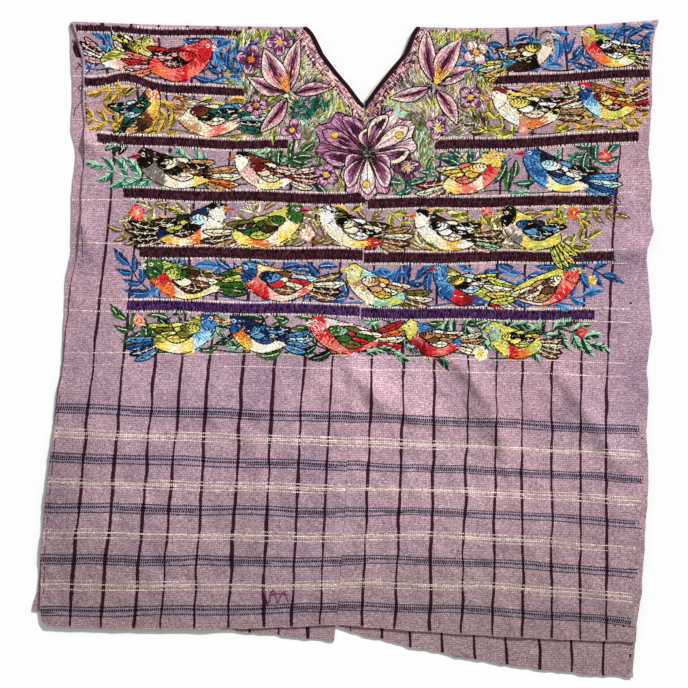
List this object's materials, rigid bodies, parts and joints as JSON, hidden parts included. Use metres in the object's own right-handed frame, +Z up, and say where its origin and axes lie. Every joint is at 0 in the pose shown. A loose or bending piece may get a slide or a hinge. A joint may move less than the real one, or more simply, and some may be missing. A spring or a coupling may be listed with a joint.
{
  "type": "huipil blouse",
  "caption": "Handwoven huipil blouse laid flat, front up: two loom panels folded at the shoulders, V neck, striped cloth with embroidered birds.",
  "frame": {"origin": "middle of the blouse's outline, on the surface that it lies on", "axes": "+X to the right seen from the front, +Y towards the shoulders, +Z up off the surface, towards the front of the blouse"},
  "size_m": [0.7951, 0.8344, 0.0097],
  "materials": {
    "mauve_cotton": "matt handwoven cotton, mauve with plum, cream and navy lines",
    "plum_binding": "near-black plum cotton",
    "embroidery_thread": "softly shining stranded thread in many colours"
  },
  "bodies": {
    "root": {"left_panel": "mauve_cotton", "right_panel": "mauve_cotton", "neck_binding_left": "plum_binding", "neck_binding_right": "plum_binding"}
  },
  "joints": []
}
